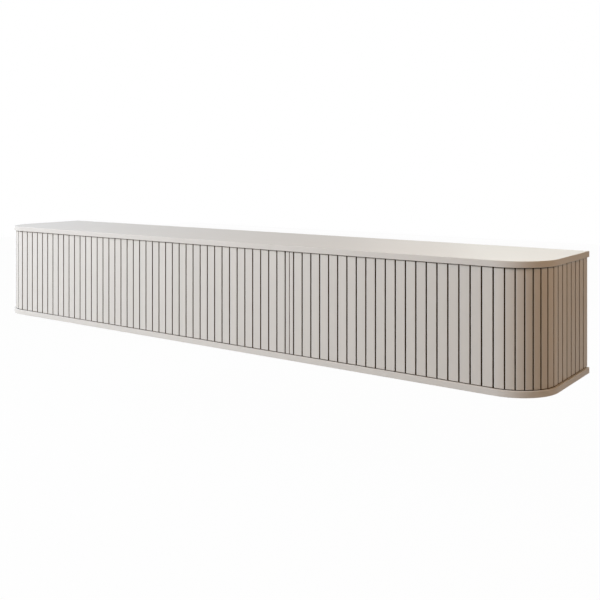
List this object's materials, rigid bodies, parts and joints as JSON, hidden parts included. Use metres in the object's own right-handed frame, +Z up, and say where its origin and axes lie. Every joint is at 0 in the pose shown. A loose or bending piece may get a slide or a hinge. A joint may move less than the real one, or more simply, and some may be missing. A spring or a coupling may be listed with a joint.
{
  "type": "floating media console",
  "caption": "Long wall-hung media console with rounded front corners, a slatted skin and push-to-open drop-down flaps.",
  "frame": {"origin": "on the wall plane, at the middle of the wall rail's row of screw holes", "axes": "+X along the length, to the right for someone facing the console; +Y into the wall; +Z up"},
  "size_m": [2.348, 0.4, 0.364],
  "materials": {
    "lacquer": "satin lacquer on fibreboard",
    "lacquer_backing": "dark brown lacquer behind the slats, off-white on the inside",
    "carcase_board": "fine textured melamine",
    "plywood": "raw birch plywood",
    "beech": "fluted beech",
    "black_plastic": "moulded",
    "grey_plastic": "moulded",
    "rubber": "soft clear grey",
    "zinc": "cast zinc, nickel plated",
    "steel": "zinc plated steel",
    "aluminium": "mill finish extrusion"
  },
  "bodies": {
    "carcase": {"bottom_slab": "lacquer", "top_slab": "lacquer", "left_inner_side": "carcase_board", "left_divider": "carcase_board", "right_divider": "carcase_board", "right_inner_side": "carcase_board", "left_back_panel": "carcase_board", "middle_back_panel": "carcase_board", "right_back_panel": "carcase_board", "rear_stretchers": "plywood", "left_end_shell": "lacquer_backing", "right_end_shell": "lacquer_backing", "left_end_slats": "lacquer", "right_end_slats": "lacquer", "left_end_ribs": "plywood", "right_end_ribs": "plywood", "left_end_back_cover": "carcase_board", "right_end_back_cover": "carcase_board", "cable_grommets": "black_plastic", "wall_rail": "aluminium", "hanging_rail": "aluminium", "hanging_rail_screws": "steel", "cam_locks": "zinc", "cam_bolts": "steel", "dowels": "beech", "stay_studs": "steel", "hinge_brackets": "zinc", "hinge_bracket_screws": "steel", "latch_bodies": "black_plastic", "latch_screws": "steel", "bumper_pads": "rubber"},
    "left_flap": {"left_flap_board": "lacquer_backing", "left_flap_slats": "lacquer", "left_pivot_housings": "zinc", "left_hinge_pins": "steel", "left_stay_brackets": "steel", "left_flap_screws": "steel", "left_strike_disc": "steel"},
    "left_stays": {"left_stay_arms": "steel"},
    "left_latch": {"left_latch_plunger": "grey_plastic"},
    "middle_flap": {"middle_flap_board": "lacquer_backing", "middle_flap_slats": "lacquer", "middle_pivot_housings": "zinc", "middle_hinge_pins": "steel", "middle_stay_brackets": "steel", "middle_flap_screws": "steel", "middle_strike_disc": "steel"},
    "middle_stays": {"middle_stay_arms": "steel"},
    "middle_latch": {"middle_latch_plunger": "grey_plastic"},
    "right_flap": {"right_flap_board": "lacquer_backing", "right_flap_slats": "lacquer", "right_pivot_housings": "zinc", "right_hinge_pins": "steel", "right_stay_brackets": "steel", "right_flap_screws": "steel", "right_strike_disc": "steel"},
    "right_stays": {"right_stay_arms": "steel"},
    "right_latch": {"right_latch_plunger": "grey_plastic"}
  },
  "joints": [
    {"name": "left_flap_hinge", "type": "hinge", "parent": "carcase", "child": "left_flap", "pos_m": [0, -0.387, -0.241], "axis": [1, 0, 0], "range_deg": [0, 90]},
    {"name": "left_stay_pivot", "type": "hinge", "parent": "left_flap", "child": "left_stays", "pos_m": [0, -0.356, -0.09424], "axis": [1, 0, 0], "range_deg": [-45, 0]},
    {"name": "left_latch_push", "type": "slide", "parent": "carcase", "child": "left_latch", "axis": [0, 1, 0], "range_m": [0, 0.003], "stiffness_N_per_m": 150},
    {"name": "middle_flap_hinge", "type": "hinge", "parent": "carcase", "child": "middle_flap", "pos_m": [0, -0.387, -0.241], "axis": [1, 0, 0], "range_deg": [0, 90]},
    {"name": "middle_stay_pivot", "type": "hinge", "parent": "middle_flap", "child": "middle_stays", "pos_m": [0, -0.356, -0.09424], "axis": [1, 0, 0], "range_deg": [-45, 0]},
    {"name": "middle_latch_push", "type": "slide", "parent": "carcase", "child": "middle_latch", "axis": [0, 1, 0], "range_m": [0, 0.003], "stiffness_N_per_m": 150},
    {"name": "right_flap_hinge", "type": "hinge", "parent": "carcase", "child": "right_flap", "pos_m": [0, -0.387, -0.241], "axis": [1, 0, 0], "range_deg": [0, 90]},
    {"name": "right_stay_pivot", "type": "hinge", "parent": "right_flap", "child": "right_stays", "pos_m": [0, -0.356, -0.09424], "axis": [1, 0, 0], "range_deg": [-45, 0]},
    {"name": "right_latch_push", "type": "slide", "parent": "carcase", "child": "right_latch", "axis": [0, 1, 0], "range_m": [0, 0.003], "stiffness_N_per_m": 150}
  ],
  "couplings": [
    {"joint": "left_stay_pivot", "follows": "left_flap_hinge", "ratio": -0.5},
    {"joint": "middle_stay_pivot", "follows": "middle_flap_hinge", "ratio": -0.5},
    {"joint": "right_stay_pivot", "follows": "right_flap_hinge", "ratio": -0.5}
  ]
}
